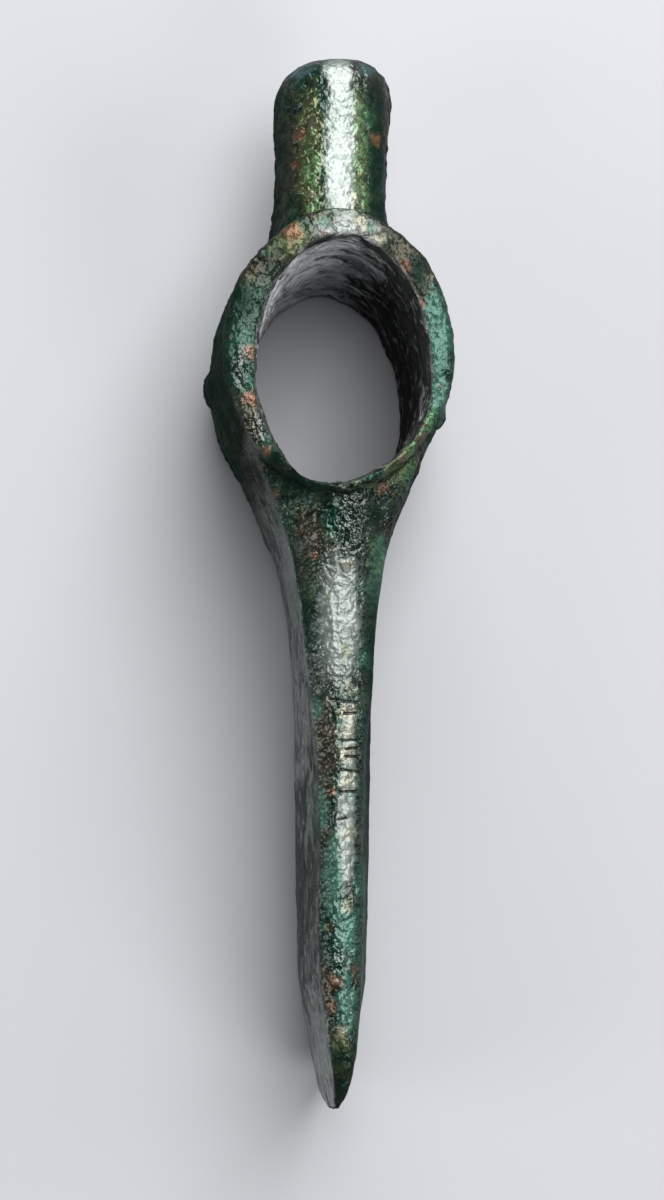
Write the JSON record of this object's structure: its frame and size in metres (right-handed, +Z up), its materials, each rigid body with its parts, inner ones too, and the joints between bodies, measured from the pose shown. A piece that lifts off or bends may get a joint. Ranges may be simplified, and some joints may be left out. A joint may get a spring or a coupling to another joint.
{
  "type": "bronze age axe head",
  "caption": "Cast bronze shaft-hole axe head with an oval socket, a round hammer-like poll and a narrow deep blade, under a glossy green patina",
  "frame": {"origin": "middle of the underside of the axe head's bounding box, as it lies on its lower socket rim with the shaft hole upright", "axes": "+Y along the axe from the cutting edge to the poll, +X across the blade's thickness, +Z up the shaft hole"},
  "size_m": [0.0336, 0.146, 0.038],
  "materials": {
    "patinated_bronze": "glossy dark green patina over bronze"
  },
  "bodies": {
    "root": {"axe_head": "patinated_bronze"}
  },
  "joints": []
}
